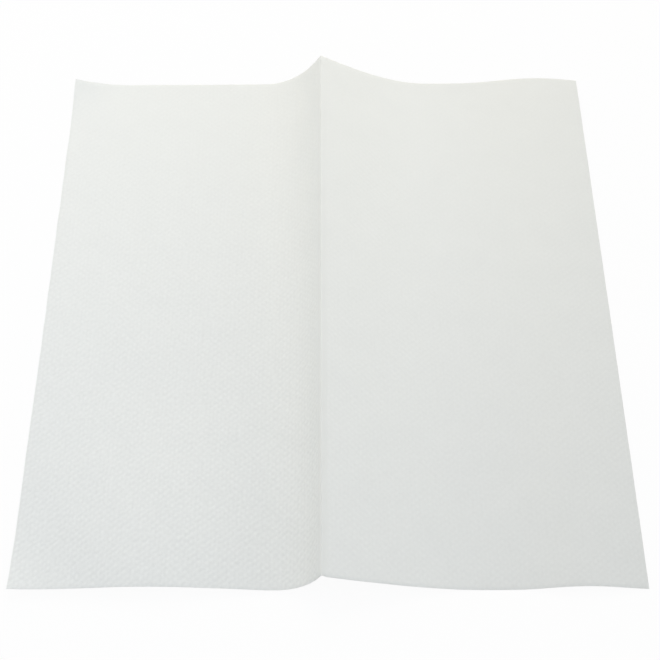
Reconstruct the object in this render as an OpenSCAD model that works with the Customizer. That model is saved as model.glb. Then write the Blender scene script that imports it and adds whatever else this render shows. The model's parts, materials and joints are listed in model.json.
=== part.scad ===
// Folded paper hand towel, opened out and laid on a table.
// One embossed sheet with one crease. The crease runs along Y and stands up as a sharp
// ridge: its left flank is steep and its right flank is long and gentle, and the flat
// panels on both sides lie on the table with soft swells at their edges.
// Millimetres, Z up. X runs across the crease, Y runs away from the viewer, and the
// origin is under the middle of the sheet, on the table.

/* [Sheet] */
// Width of the flat sheet, across the crease
sheet_w = 225; // [190:1:300]
// Length of the flat sheet, along the crease
sheet_l = 230; // [180:1:300]
// Thickness of the embossed tissue
sheet_t = 0.35; // [0.2:0.05:0.8]
// How far the crease lies to the left of the middle
crease_off = 0.4; // [-5:0.1:5]

/* [Crease] */
// Height of the crease above the table at its far end
rise_far = 17.4; // [10:0.1:22]
// Height of the crease above the table at its near end
rise_near = 13.4; // [8:0.1:18]
// Slope of the left flank at the far end of the crease, in degrees
left_slope_far = 60; // [45:1:70]
// Slope of the left flank at the near end of the crease, in degrees
left_slope_near = 66; // [45:1:70]
// How long the left flank holds its slope before it levels out: 1 is a plain arc
left_hold = 1.45; // [1:0.05:2.5]
// Slope of the right flank at the far end of the crease, in degrees
right_slope_far = 30; // [22:1:45]
// Slope of the right flank at the near end of the crease, in degrees
right_slope_near = 18; // [16:1:40]
// How long the right flank holds its slope before it levels out: 1 is a plain arc
right_hold = 2.1; // [1.5:0.05:3]
// Width of the pressed strip on the right of the crease, along the paper
strip_w = 2; // [1:0.1:4]
// Slope of the pressed strip at the far end, in degrees
strip_slope_far = 34; // [30:1:60]
// Slope of the pressed strip at the near end, in degrees
strip_slope_near = 44; // [30:1:60]

/* [Left panel] */
// Height of the swell in the near edge of the left panel
wave_rise = 4.6; // [0:0.1:8]
// How far the crest of that swell lies in from the left edge
wave_in = 45; // [35:1:60]
// Half of that swell's width
wave_half = 60; // [30:1:60]
// How far that swell runs back from the near edge
wave_run = 90; // [40:1:140]
// Lift of the far left corner
far_lift = 4.2; // [0:0.1:8]
// How far in from the far left corner its lift begins, along the diagonal
far_lift_run = 17; // [8:1:40]
// Lift of the near left corner
near_lift = 2.6; // [0:0.1:6]
// How far in from the near left corner its lift begins, along the diagonal
near_lift_run = 20; // [8:1:40]

/* [Right panel] */
// Height of the swell that runs along the right panel
swell_rise = 3; // [0:0.1:6]
// How far the crest of the swell lies in from the right edge at the far end
swell_in_far = 18; // [10:1:24]
// How far the crest of the swell lies in from the right edge at the near end
swell_in_near = 21; // [10:1:24]
// Half of the swell's width at the far end
swell_half_far = 34; // [15:1:36]
// Half of the swell's width at the near end
swell_half_near = 27; // [15:1:30]

/* [Hidden] */

// Columns of facets on each side of the crease, besides the one beside it
cols = 20;
// Rows of facets along the crease
rows = 24;
// Share of even spacing in the columns; the rest crowds them towards the crease
even_share = 0.35;
// Samples that the height of a flank is summed from
arch_steps = 24;
paper_white = [0.93, 0.935, 0.92];

function mix(a, b, t) = a + (b - a) * t;
function sum(list) = list * [for (x = list) 1];

// A soft hump: 1 in the middle, 0 at half away from it and beyond
function hump(d, half) = abs(d) < half ? 0.5 + 0.5 * cos(180 * d / half) : 0;

// Height above its foot of a flank that is 1 long, at the share t of the way from the
// crease to the foot. The slope falls from its full angle to none as 1 - t ^ hold.
function arch(t, slope, hold) = (1 - t) / arch_steps
    * sum([for (k = [0.5 : arch_steps])
        sin(slope * (1 - pow(t + (1 - t) * k / arch_steps, hold)))]);

// Height of a flank of that slope, top high, at the distance d down from its top
function flank(d, top, slope, hold) =
    let (reach = top / arch(0, slope, hold))
    d < reach ? reach * arch(d / reach, slope, hold) : 0;

// Lift of a corner that curls about a line across its diagonal
function corner(from_side, from_end, lift, run) =
    lift * pow(max(0, 1 - (from_side + from_end) / sqrt(2) / run), 2);

// Length of a panel, from the crease to its side edge
function panel(side) = sheet_w / 2 + side * crease_off;

// Height of the left panel at the distance d from the crease, y along it
function left_height(d, y, t) =
    let (in = panel(-1) - d, front = y + sheet_l / 2, back = sheet_l / 2 - y)
    flank(d, mix(rise_near, rise_far, t), mix(left_slope_near, left_slope_far, t), left_hold)
    + wave_rise * hump(in - wave_in, wave_half) * hump(front, wave_run)
    + corner(in, back, far_lift, far_lift_run)
    + corner(in, front, near_lift, near_lift_run);

// Height of the right panel at the distance d from the crease
function right_height(d, t) =
    let (in = panel(1) - d,
         top = mix(rise_near, rise_far, t),
         fall = sin(mix(strip_slope_near, strip_slope_far, t)),
         slope = mix(right_slope_near, right_slope_far, t))
    (d < strip_w ? top - d * fall : flank(d - strip_w, top - strip_w * fall, slope, right_hold))
    + swell_rise * hump(in - mix(swell_in_near, swell_in_far, t),
                        mix(swell_half_near, swell_half_far, t));

// Distances of the columns from the crease, along the paper
function column_places(side) = concat([0], [for (i = [0 : cols])
    let (k = i / cols) mix(strip_w, panel(side), even_share * k + (1 - even_share) * k * k)]);

// One panel's points at the place y, from the crease outwards. Each step across is what
// the paper's own length leaves after its climb, so no step stretches the sheet.
function panel_points(side, y) =
    let (t = y / sheet_l + 0.5,
         d = column_places(side),
         last = len(d) - 1,
         z = [for (s = d) side < 0 ? left_height(s, y, t) : right_height(s, t)],
         step = [for (i = [1 : last]) sqrt(pow(d[i] - d[i - 1], 2) - pow(z[i] - z[i - 1], 2))],
         x = [for (i = 0, run = 0; i <= last; run = run + (i < last ? step[i] : 0), i = i + 1) run])
    [for (i = [0 : last]) [side * x[i], y, z[i]]];

// One row of the sheet, from its left edge to its right edge
function row_points(y) =
    let (left = panel_points(-1, y), right = panel_points(1, y), last = len(left) - 1)
    concat([for (i = [last : -1 : 1]) left[i]], right);

// The underside, as rows of points from the near edge to the far edge
function underside() = [for (j = [0 : rows]) row_points(sheet_l * (j / rows - 0.5))];

// The direction square to the sheet at one point of its rows
function square_to(grid, i, j) =
    let (across = len(grid[0]) - 1, along = len(grid) - 1,
         a = grid[j][min(i + 1, across)] - grid[j][max(i - 1, 0)],
         b = grid[min(j + 1, along)][i] - grid[max(j - 1, 0)][i],
         n = cross(a, b))
    n / norm(n);

// A closed sheet of the given thickness on rows of points
module thick_sheet(grid, thickness) {
    across = len(grid[0]);
    along = len(grid);
    half = across * along;
    under = [for (j = [0 : along - 1]) for (i = [0 : across - 1]) grid[j][i]];
    over = [for (j = [0 : along - 1]) for (i = [0 : across - 1])
        grid[j][i] + thickness * square_to(grid, i, j)];
    over_faces = [for (j = [0 : along - 2]) for (i = [0 : across - 2])
        let (a = half + j * across + i, b = a + 1, c = a + across, d = c + 1)
        each [[a, d, b], [a, c, d]]];
    under_faces = [for (f = over_faces) [f[0] - half, f[2] - half, f[1] - half]];
    rim = concat([for (i = [0 : across - 1]) i],
                 [for (j = [1 : along - 1]) j * across + across - 1],
                 [for (i = [across - 2 : -1 : 0]) half - across + i],
                 [for (j = [along - 2 : -1 : 1]) j * across]);
    rim_faces = [for (k = [0 : len(rim) - 1])
        let (a = rim[k], b = rim[(k + 1) % len(rim)])
        each [[a, a + half, b], [b, a + half, b + half]]];
    polyhedron(concat(under, over), concat(over_faces, under_faces, rim_faces), convexity = 6);
}

module towel_sheet() {
    grid = underside();
    left_end = min([for (row = grid) row[0].x]);
    right_end = max([for (row = grid) row[len(row) - 1].x]);
    color(paper_white)
        translate([-(left_end + right_end) / 2, 0, 0])
            thick_sheet(grid, sheet_t);
}

towel_sheet();
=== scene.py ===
"""An embossed paper hand towel, opened out on a table with its one crease standing up.

Metres, Z up. X runs across the crease and Y along it, away from the viewer.
"""

import json
import math

import bpy
import numpy as np
from bpy.props import FloatProperty, FloatVectorProperty, IntProperty, PointerProperty
from mathutils import Matrix, Vector


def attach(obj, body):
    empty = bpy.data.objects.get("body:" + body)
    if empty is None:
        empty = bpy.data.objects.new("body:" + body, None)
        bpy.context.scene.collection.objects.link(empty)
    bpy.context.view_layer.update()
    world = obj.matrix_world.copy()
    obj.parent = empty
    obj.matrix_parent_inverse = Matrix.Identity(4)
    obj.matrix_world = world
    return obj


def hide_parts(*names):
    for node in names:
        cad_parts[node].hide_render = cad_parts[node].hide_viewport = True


bl_info = {
    "name": "Embossed Paper Towel",
    "version": (1, 0, 0),
    "blender": (4, 5, 0),
    "location": "3D View > Sidebar > Paper Towel",
    "description": "An embossed paper hand towel with one raised crease, and a plain stage for it",
    "category": "Add Mesh",
}

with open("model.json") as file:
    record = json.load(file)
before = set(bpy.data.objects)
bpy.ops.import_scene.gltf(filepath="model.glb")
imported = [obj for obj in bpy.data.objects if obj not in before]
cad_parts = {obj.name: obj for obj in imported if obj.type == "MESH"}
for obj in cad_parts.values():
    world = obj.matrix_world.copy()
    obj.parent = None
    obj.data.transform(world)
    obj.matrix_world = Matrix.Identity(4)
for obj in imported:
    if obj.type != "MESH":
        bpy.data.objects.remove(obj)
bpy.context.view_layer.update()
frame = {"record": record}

NODE = "towel_sheet"
FLOOR = "floor"
FLAT_MAP = "flat_sheet"
BAKE_MAP = "OFBake"
UNDERSIDE = "underside"
STRENGTH = "emboss_strength"
SLANT = "dot_slant"
MM = 0.001

# Steps that a flank's height is summed from
ARCH_STEPS = 24
# Columns and rows of the grid in one repeat of the dots
QUARTERS = 4
# Rows of the top for each row of the underside
UNDER_ROWS = 8
# Columns on each side of the crease that the underside keeps too
UNDER_NEAR = 6
WHITE = [1.0, 1.0, 1.0, 1.0]
# The most that the tissue is darker or lighter than its own colour, as a share
SHADE_RANGE = 0.1
# Bends sharper than this stay sharp in the shading, such as the crease and the cut edges
SHARP = math.radians(50)
# Share of the bake map's height that the top of the sheet has
TOP_PART = 0.72
# Points this close to a side of the flat sheet lie on its cut edge
NEAR_CUT = 1.5 * MM
# Half of the floor's width, how far the floor lies below the towel, and the floor's grey
FLOOR_HALF = 3.0
FLOOR_DROP = 0.05 * MM
FLOOR_GREY = [0.85, 0.85, 0.85, 1.0]
# Width of the drift of the dots, in dots along
DRIFT_DOTS = 5
# Most that the roughness differs with the crepe
ROUGHNESS_RANGE = 0.08


def length(name, description, default, low=0.0, high=1000.0):
    """A property that is a length, given here in millimetres."""
    return FloatProperty(
        name=name,
        description=description,
        default=default * MM,
        min=low * MM,
        max=high * MM,
        unit="LENGTH",
        precision=5,
    )


def angle(name, description, degrees):
    """A property that is an angle, given here in degrees."""
    return FloatProperty(
        name=name, description=description, default=math.radians(degrees), unit="ROTATION"
    )


def share(name, description, default, high=1.0):
    """A property that is a plain number from 0 up."""
    return FloatProperty(name=name, description=description, default=default, min=0.0, max=high)


def colour(name, description, default):
    """A property that is a colour, given here as it looks on a screen."""
    return FloatVectorProperty(
        name=name, description=description, default=default, min=0.0, max=1.0, subtype="COLOR_GAMMA"
    )


def power(name, description, default):
    """A property that is a lamp's power in watts."""
    return FloatProperty(
        name=name, description=description, default=default, min=0.0, unit="POWER", precision=3
    )


def place(name, description, default):
    """A property that is a place, given here in millimetres."""
    return FloatVectorProperty(
        name=name,
        description=description,
        default=[c * MM for c in default],
        subtype="TRANSLATION",
        unit="LENGTH",
    )


def linear(shown):
    """The linear colour, with its alpha of 1, that a screen shows as the given one."""
    return [((c + 0.055) / 1.055) ** 2.4 for c in shown] + [1.0]


class TowelSheetSettings(bpy.types.PropertyGroup):
    """Sizes of the sheet and of the forms that it lies in."""

    sheet_w: length("Width", "Width of the flat sheet, across the crease", 225)
    sheet_l: length("Length", "Length of the flat sheet, along the crease", 230)
    sheet_t: length("Thickness", "Thickness of the embossed tissue", 0.35)
    crease_off: length("Crease offset", "How far the crease lies left of the middle", 0.4)
    rise_far: length("Far rise", "Height of the crease at its far end", 17.4)
    rise_near: length("Near rise", "Height of the crease at its near end", 13.4)
    left_slope_far: angle("Far left slope", "Slope of the left flank at the far end", 60)
    left_slope_near: angle("Near left slope", "Slope of the left flank at the near end", 66)
    left_hold: share("Left hold", "How long the left flank holds its slope", 1.45, 4)
    right_slope_far: angle("Far right slope", "Slope of the right flank at the far end", 30)
    right_slope_near: angle("Near right slope", "Slope of the right flank at the near end", 18)
    right_hold: share("Right hold", "How long the right flank holds its slope", 2.1, 4)
    strip_w: length("Strip", "Width of the pressed strip on the right of the crease", 2)
    strip_slope_far: angle("Far strip slope", "Slope of the strip at the far end", 34)
    strip_slope_near: angle("Near strip slope", "Slope of the strip at the near end", 44)
    wave_rise: length("Left swell", "Height of the swell in the left panel's near edge", 4.6)
    wave_in: length("Left swell place", "How far its crest lies in from the left edge", 45)
    wave_half: length("Left swell half width", "Half of that swell's width", 60)
    wave_run: length("Left swell run", "How far that swell runs back from the near edge", 90)
    far_lift: length("Far corner lift", "Lift of the far left corner", 4.2)
    far_lift_run: length("Far corner run", "How far in that lift begins", 17)
    near_lift: length("Near corner lift", "Lift of the near left corner", 2.6)
    near_lift_run: length("Near corner run", "How far in that lift begins", 20)
    swell_rise: length("Right swell", "Height of the swell that runs along the right panel", 3)
    swell_in_far: length("Far swell place", "Its crest's distance from the right edge, far", 18)
    swell_in_near: length("Near swell place", "Its crest's distance from the right edge, near", 21)
    swell_half_far: length("Far swell half width", "Half of its width at the far end", 34)
    swell_half_near: length("Near swell half width", "Half of its width at the near end", 27)


class TowelEmbossSettings(bpy.types.PropertyGroup):
    """The dots that are pressed into the sheet."""

    half_dots: IntProperty(
        name="Half dots across",
        description="Half repeats of the dots on each panel, from the crease to the side edge",
        default=77,
        min=8,
    )
    dots_along: IntProperty(
        name="Dots along",
        description="Repeats of the dots from the near edge to the far edge",
        default=92,
        min=8,
    )
    depth: length("Depth", "Height of a dot above the hollows beside it", 0.2)
    right_share: share("Right panel", "Depth on the right panel, as a share of the left's", 0.5)
    far_share: share("Far end", "Depth at the far edge, as a share of the near edge's", 0.25)
    slant: share("Slant", "How far the dots run together in diagonal rows, near left", 0.45)
    slant_run: length("Slant run", "How far back from the near edge they do so", 110)
    unevenness: share("Unevenness", "How much the dots differ from each other in height", 0.3)
    wander: length("Wander", "How far a dot may lie from its place in the pattern", 0.12)
    flat_band: length("Flat band", "Width beside the crease where the dots are pressed flat", 2.2)
    edge_t: length("Cut edge", "Thickness of the sheet where it is cut", 0.12)
    edge_run: length("Cut edge run", "How far in from the cut it has its full thickness", 0.6)
    cockle: length("Cockle", "Height of the soft unevenness of the whole sheet", 0.12)
    cockle_size: length("Cockle size", "Width of that unevenness", 22)


class TowelFinishSettings(bpy.types.PropertyGroup):
    """Colour and surface of the tissue."""

    tissue: colour("Tissue", "Colour of the tissue", frame["record"]["materials"][0]["base_color"])
    shade: share("Mottling", "How much darker its thin spots are", 0.022)
    mottle_size: length("Mottling size", "Width of the mottling", 9)
    # Dot shade: hollows darker than the dots, partly as thinner paper and partly as painted shade
    # of the dots' relief.
    dot_tone_and_painted_shade: share("Dot shade", "How much darker the pressed hollows are than the dots", 0.034)
    # Columns and column lead: painted light and shade of narrower dots lit from one side, at a
    # fixed phase, so it doesn't turn with the lamps.
    columns: share("Columns", "How far bright and dark columns part the dots, as a share", 0.5)
    column_lead: angle("Column lead", "How far the columns lie left of the dots, in phase", -77)
    dot_patches: share("Dot patches", "How much that differs from place to place", 1.6, 4)
    patch_size: length("Patch size", "Width of those places", 3.2)
    grain: share("Grain", "How much darker the paper's thin grains are than its thick ones", 0.14)
    grain_size: length("Grain size", "Width of the grains", 1.3)
    fibre_size: length("Fibre size", "Width of the fine crepe of the fibres", 0.45)
    fibre_height: length("Fibre height", "Height of the fine crepe of the fibres", 0.012)
    roughness: share("Roughness", "Roughness of the tissue", 0.9)


class TowelStageSettings(bpy.types.PropertyGroup):
    """The camera, the lamps and the floor."""

    lens: FloatProperty(name="Lens", description="Focal length", default=75.12, unit="CAMERA")
    distance: length("Distance", "From the camera to its target", 521.9)
    target_x: length("Target X", "The point on the table that the camera faces", 0.96, -500)
    target_y: length("Target Y", "The point on the table that the camera faces", -10.13, -500)
    elevation: angle("Elevation", "How far above the table the camera looks down from", 57.18)
    roll: angle("Roll", "Turn of the camera about its own line of sight", -0.304)
    key_power: power("Key power", "Power of the large lamp over the left panel", 2.34)
    key_place: place("Key place", "Place of the large lamp", (-300, 0, 500))
    key_size: length("Key size", "Width of the large lamp", 800)
    key_tint: colour("Key tint", "Colour of the large lamp", (0.906, 0.937, 1.0))
    back_power: power("Back power", "Power of the lamp behind the towel", 2.54)
    back_place: place("Back place", "Place of the lamp behind the towel", (0, 500, 600))
    back_size: length("Back size", "Width of the lamp behind the towel", 400)
    back_tint: colour("Back tint", "Colour of the lamp behind the towel", (1.0, 0.958, 0.871))
    right_glow: share("Right glow", "Brightness of the white wall on the right", 0.843, 4)
    right_tint: colour("Right tint", "Colour of the wall on the right", (0.901, 0.937, 1.0))
    low_glow: share("Low glow", "Brightness all round, near the table's level", 0.719, 4)
    low_tint: colour("Low tint", "Colour near the table's level", (1.0, 0.966, 0.858))
    floor_white: share("Floor white", "How far the floor is plain white under the towel", 0.95)
    floor_reach: length("Floor reach", "How far from the towel's middle it is wholly white", 500)


def mix(near, far, t):
    """The value at the share t of the way from near to far."""
    return near + (far - near) * t


def hump(away, half):
    """A soft hump: half of 1 + cos(pi * away / half) up to half away, and 0 beyond."""
    return np.where(np.abs(away) < half, 0.5 + 0.5 * np.cos(np.pi * away / half), 0.0)


def arch(t, slope, hold):
    """Height above its foot of a flank 1 long at the share t of its length: the mean, over
    the rest s of that length, of sin(slope * (1 - s ** hold)), times 1 - t."""
    steps = (np.arange(ARCH_STEPS) + 0.5) / ARCH_STEPS
    s = t[..., None] + (1 - t[..., None]) * steps
    return (1 - t) * np.sin(slope[..., None] * (1 - s**hold)).mean(-1)


def flank(d, top, slope, hold):
    """Height of a flank that is top high, at the distance d down from its top: arch at
    the share d / reach, times reach, where reach is what makes it top high."""
    reach = top / arch(np.zeros_like(slope), slope, hold)
    return reach * arch(np.clip(d / reach, 0, 1), slope, hold)


def corner(from_side, from_end, lift, run):
    """Lift of a curled corner: lift * (1 - (from_side + from_end) / (sqrt(2) * run)) ** 2."""
    return lift * np.maximum(0, 1 - (from_side + from_end) / math.sqrt(2) / run) ** 2


def left_height(s, panel, d, y, t):
    """Height of the left panel: its flank, the swell in its near edge and its two corners."""
    inward = panel - d
    front = y + s.sheet_l / 2
    back = s.sheet_l / 2 - y
    slope = mix(s.left_slope_near, s.left_slope_far, t)
    return (
        flank(d, mix(s.rise_near, s.rise_far, t), slope, s.left_hold)
        + s.wave_rise * hump(inward - s.wave_in, s.wave_half) * hump(front, s.wave_run)
        + corner(inward, back, s.far_lift, s.far_lift_run)
        + corner(inward, front, s.near_lift, s.near_lift_run)
    )


def right_height(s, panel, d, t):
    """Height of the right panel: the pressed strip, its flank and the swell along it."""
    top = mix(s.rise_near, s.rise_far, t)
    fall = np.sin(mix(s.strip_slope_near, s.strip_slope_far, t))
    slope = mix(s.right_slope_near, s.right_slope_far, t)
    beyond = flank(np.maximum(d - s.strip_w, 0), top - s.strip_w * fall, slope, s.right_hold)
    crest = mix(s.swell_in_near, s.swell_in_far, t)
    half = mix(s.swell_half_near, s.swell_half_far, t)
    swell = s.swell_rise * hump(panel - d - crest, half)
    return np.where(d < s.strip_w, top - d * fall, beyond) + swell


def panel_surface(s, side, steps, y):
    """One panel's base surface as a grid of rows along Y and columns from the crease
    outwards. Heights are a function of the distance d along the paper and of y, and each
    step across is sqrt(step ** 2 - rise ** 2), so no step stretches the sheet."""
    panel = s.sheet_w / 2 + side * s.crease_off
    y = y[:, None]
    t = y / s.sheet_l + 0.5
    d = np.broadcast_to(np.linspace(0, panel, steps + 1), (len(y), steps + 1))
    t = np.broadcast_to(t, d.shape)
    z = left_height(s, panel, d, y, t) if side < 0 else right_height(s, panel, d, t)
    across = np.sqrt(np.diff(d, axis=1) ** 2 - np.diff(z, axis=1) ** 2)
    x = np.concatenate([np.zeros((len(y), 1)), np.cumsum(across, axis=1)], axis=1)
    return np.stack([side * x, np.broadcast_to(y, d.shape), z], -1), side * d


def base_surface(s, steps, rows):
    """The sheet's base surface, from its left edge to its right edge in each row, and the
    distance of each point from the crease along the paper, negative on the left."""
    y = np.linspace(-s.sheet_l / 2, s.sheet_l / 2, rows + 1)
    left, left_d = panel_surface(s, -1, steps, y)
    right, right_d = panel_surface(s, 1, steps, y)
    points = np.concatenate([left[:, :0:-1], right], axis=1)
    points[..., 0] -= (points[..., 0].min() + points[..., 0].max()) / 2
    return points, np.concatenate([left_d[:, :0:-1], right_d], axis=1)


def unit(v):
    """The vectors of v, each 1 long."""
    return v / np.linalg.norm(v, axis=-1, keepdims=True)


def directions(points):
    """At each point of a grid: the direction across, the one along and the one square to
    both, from the points before and after it."""
    across = unit(np.gradient(points, axis=1))
    along = unit(np.gradient(points, axis=0))
    return across, along, unit(np.cross(across, along))


def soft_noise(d, y, size, seed, waves=14):
    """A smooth random field of about 1 either way: the sum of cosine waves about as long
    as size, in directions, phases and lengths drawn from the seed."""
    rng = np.random.default_rng(seed)
    turn = rng.uniform(0, math.tau, waves)
    phase = rng.uniform(0, math.tau, waves)
    k = math.tau / (size * rng.uniform(0.7, 1.5, waves))
    field = sum(
        np.cos(k[i] * (d * math.cos(turn[i]) + y * math.sin(turn[i])) + phase[i])
        for i in range(waves)
    )
    return field * math.sqrt(2 / waves)


def emboss_strength(e, d, t):
    """Share of the full depth that the dots have: none beside the crease, rising smoothly
    over the flat band, less on the right panel, and falling as t ** 1.5 to the far edge."""
    rise = np.clip(np.abs(d) / e.flat_band - 0.5, 0, 1)
    side = np.where(d > 0, e.right_share, 1.0)
    return rise * rise * (3 - 2 * rise) * side * mix(1, e.far_share, t**1.5)


def dot_slant(e, d, front):
    """How far the dots run together in diagonal rows: slant * (1 - front / slant_run) on
    the left panel, where front is the distance from the near edge, and none on the right."""
    return np.where(d < 0, e.slant * np.clip(1 - front / e.slant_run, 0, 1), 0.0)


def emboss(e, strength, slant, i, j):
    """Height of the dots about the sheet's middle: the mean of (1 + slant) *
    cos(pi * (i - j) / 2) and (1 - slant) * cos(pi * (i + j) / 2) on grid columns i and
    rows j, times half the depth. So dots stand in staggered rows, and with a slant they
    run together along one diagonal. Each differs a little by a seeded draw."""
    rng = np.random.default_rng(7)
    rows_up = (1 + slant) * np.cos(np.pi * (i - j) / 2)
    rows_down = (1 - slant) * np.cos(np.pi * (i + j) / 2)
    wave = (rows_up + rows_down) / 2
    uneven = 1 + e.unevenness * rng.standard_normal(wave.shape).clip(-2, 2)
    return e.depth / 2 * strength * wave * uneven


def towel_surfaces(s, e):
    """The top and the underside on one grid. The underside is the base surface with its
    cockle, and the top stands a thickness above it along the surface's own square
    direction, less half of the depth that the dots swing. Both thin out to the cut edges."""
    steps = 2 * e.half_dots
    rows = QUARTERS * e.dots_along
    points, d = base_surface(s, steps, rows)
    across, along, square = directions(points)
    y = points[..., 1]
    border = 2 * e.wander + MM
    inside = np.clip((s.sheet_l / 2 - np.abs(y)) / border, 0, 1)
    inside = inside * np.clip((s.sheet_w / 2 - np.abs(d)) / border, 0, 1)
    held = np.clip(np.abs(d) / e.flat_band, 0, 1)
    place = e.wander * inside * held
    size = DRIFT_DOTS * s.sheet_l / e.dots_along
    drift = place[..., None] * (
        across * soft_noise(d, y, size, 1)[..., None] + along * soft_noise(d, y, size, 2)[..., None]
    )
    cockle = e.cockle / 2 * (1 + soft_noise(d, y, e.cockle_size, 3).clip(-1, 1)) * held
    base = points + drift + cockle[..., None] * square
    strength = emboss_strength(e, d, y / s.sheet_l + 0.5)
    slant = dot_slant(e, d, y + s.sheet_l / 2)
    i, j = np.meshgrid(np.arange(2 * steps + 1) - steps, np.arange(rows + 1))
    loft = s.sheet_t - e.depth / 2 * strength + emboss(e, strength, slant, i, j)
    panel = s.sheet_w / 2 + np.sign(d) * s.crease_off
    from_cut = np.minimum(s.sheet_l / 2 - np.abs(y), panel - np.abs(d))
    lift = mix(e.edge_t, loft, np.clip(from_cut / e.edge_run, 0, 1))
    top = base + lift[..., None] * square
    return top, base, d, strength, slant


def towel_mesh(s, e):
    """The closed sheet. Each 2 by 2 block of the top's grid is a diamond and four corner
    triangles. Its middle point is kept only where the dots slant, and elsewhere their
    wave has a level spot there. The underside keeps few columns and rows, and one polygon
    of the cut edge joins each of its edge steps to the finer edge of the top."""
    top, base, d, strength, slant = towel_surfaces(s, e)
    rows, cols = d.shape
    i, j = np.meshgrid(np.arange(cols), np.arange(rows))
    kept = (i % 2 == 0) | (j % 2 == 0) | (slant > 0)
    at = np.full(d.shape, -1)
    at[kept] = np.arange(kept.sum())

    centre = cols // 2
    under_cols = np.unique(
        np.concatenate(
            [
                np.arange(centre % QUARTERS, cols, QUARTERS),
                np.arange(centre - UNDER_NEAR, centre + UNDER_NEAR + 1),
                [0, cols - 1],
            ]
        )
    )
    under_rows = np.arange(0, rows, UNDER_ROWS)
    under = np.full(d.shape, -1)
    grid = np.ix_(under_rows, under_cols)
    under[grid] = kept.sum() + np.arange(len(under_rows) * len(under_cols)).reshape(
        len(under_rows), -1
    )

    sw, se, nw, ne = at[:-2:2, :-2:2], at[:-2:2, 2::2], at[2::2, :-2:2], at[2::2, 2::2]
    south, north = at[:-2:2, 1::2], at[2::2, 1::2]
    west, east = at[1::2, :-2:2], at[1::2, 2::2]
    middle = at[1::2, 1::2]
    slanted = middle >= 0
    triangles = [(sw, south, west), (se, east, south), (ne, north, east), (nw, west, north)]
    faces = [np.stack([a.ravel() for a in three], 1) for three in triangles]
    faces.append(np.stack([a[~slanted] for a in (south, east, north, west)], 1))
    for a, b in ((south, east), (east, north), (north, west), (west, south)):
        faces.append(np.stack([a[slanted], b[slanted], middle[slanted]], 1))

    low = under[grid]
    quad = (low[:-1, :-1], low[1:, :-1], low[1:, 1:], low[:-1, 1:])
    faces.append(np.stack([a.ravel() for a in quad], 1))
    polygons = [face for block in faces for face in block.tolist()]
    top_count = sum(len(block) for block in faces[:-1])
    under_count = len(faces[-1])

    def cut_edge(rim_top, rim_under, stops, outward):
        """Polygons from one stop to the next, between the top's edge and the underside's."""
        for a, b in zip(stops[:-1], stops[1:]):
            upper = rim_top[a : b + 1].tolist()
            lower = [int(rim_under[a]), int(rim_under[b])]
            loop = lower + upper[::-1]
            polygons.append(loop if outward else loop[::-1])

    cut_edge(at[0], under[0], under_cols, True)
    cut_edge(at[-1], under[-1], under_cols, False)
    cut_edge(at[:, 0], under[:, 0], under_rows, False)
    cut_edge(at[:, -1], under[:, -1], under_rows, True)

    points = np.concatenate([top[kept], base[grid].reshape(-1, 3)])
    flat = np.stack([d, np.linspace(-s.sheet_l / 2, s.sheet_l / 2, rows)[:, None] + 0 * d], -1)
    flat = np.concatenate([flat[kept], flat[grid].reshape(-1, 2)])
    below = np.concatenate([np.zeros(kept.sum()), np.ones(low.size)])
    depth = np.concatenate([strength[kept], strength[grid].ravel()])
    diagonal = np.concatenate([slant[kept], slant[grid].ravel()])

    mesh = bpy.data.meshes.new("towel")
    mesh.from_pydata(points.tolist(), [], polygons)
    for name, values in ((UNDERSIDE, below), (STRENGTH, depth), (SLANT, diagonal)):
        attribute = mesh.attributes.new(name, "FLOAT", "POINT")
        attribute.data.foreach_set("value", values.astype(np.float32))
    add_maps(mesh, flat, below, s, top_count, under_count)
    mesh.polygons.foreach_set("use_smooth", [True] * len(mesh.polygons))
    mesh.set_sharp_from_angle(angle=SHARP)
    mesh.validate()
    mesh.update()
    return mesh


def add_maps(mesh, flat, below, s, top_count, under_count):
    """Two UV maps: the place on the flat sheet in metres, and one for baking. There the
    top has the lower part of the square, the cut edges are flanges around it as wide as
    twice the sheet's thickness, and the underside lies above, squeezed."""
    corner_at = np.empty(len(mesh.loops), np.int32)
    mesh.loops.foreach_get("vertex_index", corner_at)
    place = flat[corner_at]
    layer = mesh.uv_layers.new(name=FLAT_MAP)
    layer.uv.foreach_set("vector", place.astype(np.float32).ravel())

    starts = np.empty(len(mesh.polygons), np.int32)
    mesh.polygons.foreach_get("loop_start", starts)
    under_start = starts[top_count]
    edge_start = starts[top_count + under_count]
    corner_order = np.arange(len(place))
    half = np.array([s.sheet_w / 2 + s.crease_off, s.sheet_l / 2])
    margin = 4 * s.sheet_t
    flange = margin / 2
    on_edge = corner_order >= edge_start
    lowered = on_edge & (below[corner_at] > 0.5)
    spot = place.copy()
    outside = np.sign(place) * (np.abs(place) > half - NEAR_CUT)
    spot[lowered] += flange * outside[lowered]
    spot = (spot + half + margin) / (2 * (half + margin))
    lying = (corner_order >= under_start) & ~on_edge
    spot[~lying, 1] *= TOP_PART
    spot[lying, 1] = mix(TOP_PART, 1, spot[lying, 1])
    bake = mesh.uv_layers.new(name=BAKE_MAP)
    bake.uv.foreach_set("vector", spot.astype(np.float32).ravel())
    mesh.uv_layers.active = layer


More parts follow.
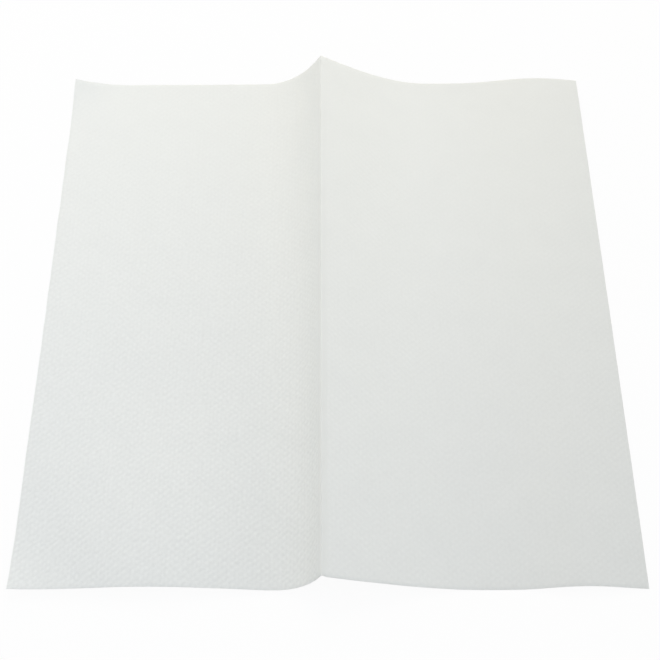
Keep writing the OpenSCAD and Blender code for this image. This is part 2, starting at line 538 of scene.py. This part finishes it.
class Signal:
    """An output of a shader node. Arithmetic on signals adds Math nodes to its tree."""

    def __init__(self, tree, socket):
        self.tree = tree
        self.socket = socket

    @classmethod
    def of(cls, tree, kind, settings=None, inputs=None, output=0):
        """Adds a node of that kind: its settings first, then the values or links of its
        sockets, by name or number."""
        node = tree.nodes.new(kind)
        for name, value in (settings or {}).items():
            setattr(node, name, value)
        for key, value in (inputs or {}).items():
            if isinstance(value, Signal):
                tree.links.new(value.socket, node.inputs[key])
            else:
                node.inputs[key].default_value = value
        return cls(tree, node.outputs[output] if node.outputs else None)

    def math(self, operation, *values):
        """A Math node of that operation on the given values, in their order."""
        inputs = dict(enumerate(values))
        return Signal.of(self.tree, "ShaderNodeMath", {"operation": operation}, inputs)

    def cosine(self):
        return self.math("COSINE", self)

    def parts(self, *which):
        """The given parts of a vector, by number."""
        node = self.tree.nodes.new("ShaderNodeSeparateXYZ")
        self.tree.links.new(self.socket, node.inputs[0])
        return [Signal(self.tree, node.outputs[k]) for k in which]

    def __add__(self, other):
        return self.math("ADD", self, other)

    def __radd__(self, other):
        return self.math("ADD", other, self)

    def __sub__(self, other):
        return self.math("SUBTRACT", self, other)

    def __rsub__(self, other):
        return self.math("SUBTRACT", other, self)

    def __mul__(self, other):
        return self.math("MULTIPLY", self, other)

    def __rmul__(self, other):
        return self.math("MULTIPLY", other, self)


def noise(tree, vector, size, detail=2.0):
    """A Noise Texture, about 0 to 1, whose blotches are about size wide."""
    inputs = {"Vector": vector, "Scale": 1 / size, "Detail": detail}
    return Signal.of(tree, "ShaderNodeTexNoise", {"noise_dimensions": "3D"}, inputs)


def new_tree(material):
    """The material's empty node tree."""
    material.use_nodes = True
    material.node_tree.nodes.clear()
    return material.node_tree


def tissue_material(s, e, f):
    """White tissue: faint mottling where the paper is thin, hollows darker than the dots,
    partly as thinner paper and partly as painted shade of the dots' relief, columns of
    painted light and shade that part the dots, fine grain, a crepe of fibres, and on the
    underside the backs of the dots, which the top has as geometry."""
    material = bpy.data.materials.new("tissue")
    tree = new_tree(material)
    place = Signal.of(tree, "ShaderNodeUVMap", {"uv_map": FLAT_MAP})
    across, along = place.parts(0, 1)
    under, depth, slant = (
        Signal.of(tree, "ShaderNodeAttribute", {"attribute_name": name}, output="Fac")
        for name in (UNDERSIDE, STRENGTH, SLANT)
    )

    mottle = noise(tree, place, f.mottle_size, 4.0)
    fibres = noise(tree, place, f.fibre_size, 3.0)
    turn_across = across * (math.tau * e.half_dots / s.sheet_w)
    turn_along = (along + s.sheet_l / 2) * (math.tau * e.dots_along / s.sheet_l)
    rows_up = (turn_across - turn_along).cosine() * (0.5 + 0.5 * slant)
    rows_down = (turn_across + turn_along).cosine() * (0.5 - 0.5 * slant)
    wave = rows_up + rows_down
    height = fibres * f.fibre_height - wave * depth * under * (e.depth / 2)
    bump = Signal.of(
        tree, "ShaderNodeBump", None, {"Strength": 1.0, "Distance": 1.0, "Height": height}
    )

    patches = 1 + (noise(tree, place, f.patch_size, 1.0) - 0.5) * f.dot_patches
    grains = (noise(tree, place, f.grain_size, 2.0) - 0.5) * depth
    # Columns: painted light and shade of narrower dots lit from one side, at a fixed lead, so it
    # doesn't turn with the lamps.
    columns = (2 * turn_across + f.column_lead).cosine() * f.columns
    # The dots' colour: partly thinner paper in the hollows, partly painted shade of the dots'
    # relief, stronger along one diagonal where the dots slant.
    spots = (wave + columns) * depth
    # The tissue's tone: mottling and grain, which the paper has, less the dots' colour, which is
    # partly painted shade.
    shade = mottle * f.shade - spots * patches * (f.dot_tone_and_painted_shade / 2) + grains * f.grain
    white = linear(f.tissue)
    dark = [c * (1 - SHADE_RANGE) for c in white[:3]] + [1.0]
    light = [c * (1 + SHADE_RANGE) for c in white[:3]] + [1.0]
    mixed = {0: shade * (0.5 / SHADE_RANGE) + 0.5, 6: light, 7: dark}
    tone = Signal.of(tree, "ShaderNodeMix", {"data_type": "RGBA"}, mixed, output=2)
    shader = Signal.of(
        tree,
        "ShaderNodeBsdfPrincipled",
        None,
        {
            "Base Color": tone,
            "Roughness": f.roughness + ROUGHNESS_RANGE * (fibres - 0.5),
            "Normal": bump,
            "Specular IOR Level": 0.25,
            "Sheen Weight": 0.05,
            "Sheen Roughness": 0.5,
        },
    )
    Signal.of(tree, "ShaderNodeOutputMaterial", None, {"Surface": shader})
    return material


def seen(tree):
    """1 for rays that carry what the camera sees: straight, mirrored or through glass."""
    path = tree.nodes.new("ShaderNodeLightPath")
    rays = ("Is Camera Ray", "Is Glossy Ray", "Is Transmission Ray")
    straight, mirrored, through = (Signal(tree, path.outputs[name]) for name in rays)
    return straight.math("MAXIMUM", straight, mirrored.math("MAXIMUM", mirrored, through))


def floor_material(stage):
    """A pale floor. What the camera sees of it is mostly plain white, and the rest is lit,
    so the towel's shadow stays. The lit part falls with the square of the distance from
    the towel's middle, to none at floor_reach, so the floor meets the background unseen."""
    material = bpy.data.materials.new("pale_floor")
    tree = new_tree(material)
    lit = Signal.of(tree, "ShaderNodeBsdfDiffuse", None, {"Color": FLOOR_GREY})
    plain = Signal.of(tree, "ShaderNodeEmission", None, {"Color": WHITE, "Strength": 1.0})
    place = Signal.of(tree, "ShaderNodeTexCoord", output="Object")
    away = Signal.of(
        tree, "ShaderNodeVectorMath", {"operation": "LENGTH"}, {0: place}, output="Value"
    )
    spread = (1 - stage.floor_white) / stage.floor_reach**2
    share_white = seen(tree) * away.math("MINIMUM", away * away * spread + stage.floor_white, 1.0)
    surface = Signal.of(tree, "ShaderNodeMixShader", None, {0: share_white, 1: lit, 2: plain})
    Signal.of(tree, "ShaderNodeOutputMaterial", None, {"Surface": surface})
    return material


def set_world(stage):
    """A white background to the camera. What lights the towel is dimmer: it glows as
    ((1 + x) / 2) ** 2 on the right and as (1 - z) ** 2 down to the table's level, where
    x and z belong to the direction."""
    world = bpy.data.worlds.new("studio_dome")
    world.use_nodes = True
    world.node_tree.nodes.clear()
    tree = world.node_tree
    x, z = Signal.of(tree, "ShaderNodeTexCoord").parts(0, 2)
    rightness, lowness = 0.5 * x + 0.5, 1 - z
    glows = [
        Signal.of(tree, "ShaderNodeBackground", None, {"Color": linear(tint), "Strength": strength})
        for tint, strength in (
            (stage.right_tint, rightness * rightness * stage.right_glow),
            (stage.low_tint, lowness * lowness * stage.low_glow),
        )
    ]
    glow = Signal.of(tree, "ShaderNodeAddShader", None, dict(enumerate(glows)))
    white = Signal.of(tree, "ShaderNodeBackground", None, {"Color": WHITE, "Strength": 1.0})
    sky = Signal.of(tree, "ShaderNodeMixShader", None, {0: seen(tree), 1: glow, 2: white})
    Signal.of(tree, "ShaderNodeOutputWorld", None, {"Surface": sky})
    world.cycles.sampling_method = "NONE"
    bpy.context.scene.world = world


def add_lamp(name, power, size, place, tint):
    """A square area lamp at a place, turned to the middle of the towel."""
    lamp = bpy.data.lights.new(name, "AREA")
    lamp.shape = "SQUARE"
    lamp.size = size
    lamp.energy = power
    lamp.color = tint
    holder = bpy.data.objects.new(name, lamp)
    holder.location = place
    holder.rotation_mode = "QUATERNION"
    holder.rotation_quaternion = (-Vector(place)).to_track_quat("-Z", "Y")
    holder.visible_camera = False
    bpy.context.scene.collection.objects.link(holder)
    return holder


def add_camera(stage):
    """The camera, at its distance from the target along a line that rises by the
    elevation, and turned by the roll about that line."""
    e = stage.elevation
    forward = Vector((0, math.cos(e), -math.sin(e)))
    up = Vector((0, math.sin(e), math.cos(e)))
    right = Vector((1, 0, 0))
    c, s = math.cos(stage.roll), math.sin(stage.roll)
    axes = Matrix([c * right + s * up, c * up - s * right, -forward]).transposed()
    place = Vector((stage.target_x, stage.target_y, 0)) - stage.distance * forward
    camera = bpy.data.cameras.new("camera")
    camera.lens = stage.lens
    camera.sensor_width = 36.0
    camera.clip_start = 0.01
    camera.clip_end = 20.0
    holder = bpy.data.objects.new("camera", camera)
    holder.matrix_world = Matrix.Translation(place) @ axes.to_4x4()
    bpy.context.scene.collection.objects.link(holder)
    bpy.context.scene.camera = holder


def link_piece(name, mesh, material):
    """An object at the origin that shows the mesh in that material."""
    mesh.materials.append(material)
    piece = bpy.data.objects.new(name, mesh)
    bpy.context.scene.collection.objects.link(piece)
    return piece


class TOWEL_OT_lay_sheet(bpy.types.Operator):
    """Lay the embossed sheet, with its one crease standing up"""

    bl_idname = "paper_towel.lay_sheet"
    bl_label = "Lay the Sheet"

    def execute(self, context):
        scene = context.scene
        s, e, f = scene.towel_sheet, scene.towel_emboss, scene.towel_finish
        towel = link_piece("towel", towel_mesh(s, e), tissue_material(s, e, f))
        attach(towel, "root")
        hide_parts(NODE)
        return {"FINISHED"}


class TOWEL_OT_set_stage(bpy.types.Operator):
    """Set up the pale floor, the soft studio light and the camera"""

    bl_idname = "paper_towel.set_stage"
    bl_label = "Set the Stage"

    def execute(self, context):
        stage = context.scene.towel_stage
        context.scene.view_settings.view_transform = "Standard"
        corners = ((-1, -1), (1, -1), (1, 1), (-1, 1))
        points = [(x * FLOOR_HALF, y * FLOOR_HALF, -FLOOR_DROP) for x, y in corners]
        mesh = bpy.data.meshes.new(FLOOR)
        mesh.from_pydata(points, [], [(0, 1, 2, 3)])
        link_piece(FLOOR, mesh, floor_material(stage))
        for lamp in ("key", "back"):
            power, size, place, tint = (
                getattr(stage, f"{lamp}_{what}") for what in ("power", "size", "place", "tint")
            )
            add_lamp(f"{lamp}_lamp", power, size, place, linear(tint)[:3])
        set_world(stage)
        add_camera(stage)
        return {"FINISHED"}


class TOWEL_PT_panel(bpy.types.Panel):
    """The towel's pieces and their settings"""

    bl_idname = "TOWEL_PT_panel"
    bl_label = "Paper Towel"
    bl_space_type = "VIEW_3D"
    bl_region_type = "UI"
    bl_category = "Paper Towel"

    def draw(self, context):
        scene = context.scene
        for operator, groups in (
            (TOWEL_OT_lay_sheet, (scene.towel_sheet, scene.towel_emboss, scene.towel_finish)),
            (TOWEL_OT_set_stage, (scene.towel_stage,)),
        ):
            box = self.layout.box()
            box.operator(operator.bl_idname)
            for group in groups:
                for name in group.__annotations__:
                    box.prop(group, name)


GROUPS = {
    "towel_sheet": TowelSheetSettings,
    "towel_emboss": TowelEmbossSettings,
    "towel_finish": TowelFinishSettings,
    "towel_stage": TowelStageSettings,
}
CLASSES = (*GROUPS.values(), TOWEL_OT_lay_sheet, TOWEL_OT_set_stage, TOWEL_PT_panel)


def register():
    for made in CLASSES:
        bpy.utils.register_class(made)
    for name, group in GROUPS.items():
        setattr(bpy.types.Scene, name, PointerProperty(type=group))


def unregister():
    for name in GROUPS:
        delattr(bpy.types.Scene, name)
    for made in reversed(CLASSES):
        bpy.utils.unregister_class(made)


def main():
    """Registers the classes and builds the towel and its stage."""
    register()
    bpy.ops.paper_towel.lay_sheet()
    bpy.ops.paper_towel.set_stage()


if __name__ == "__main__":
    main()
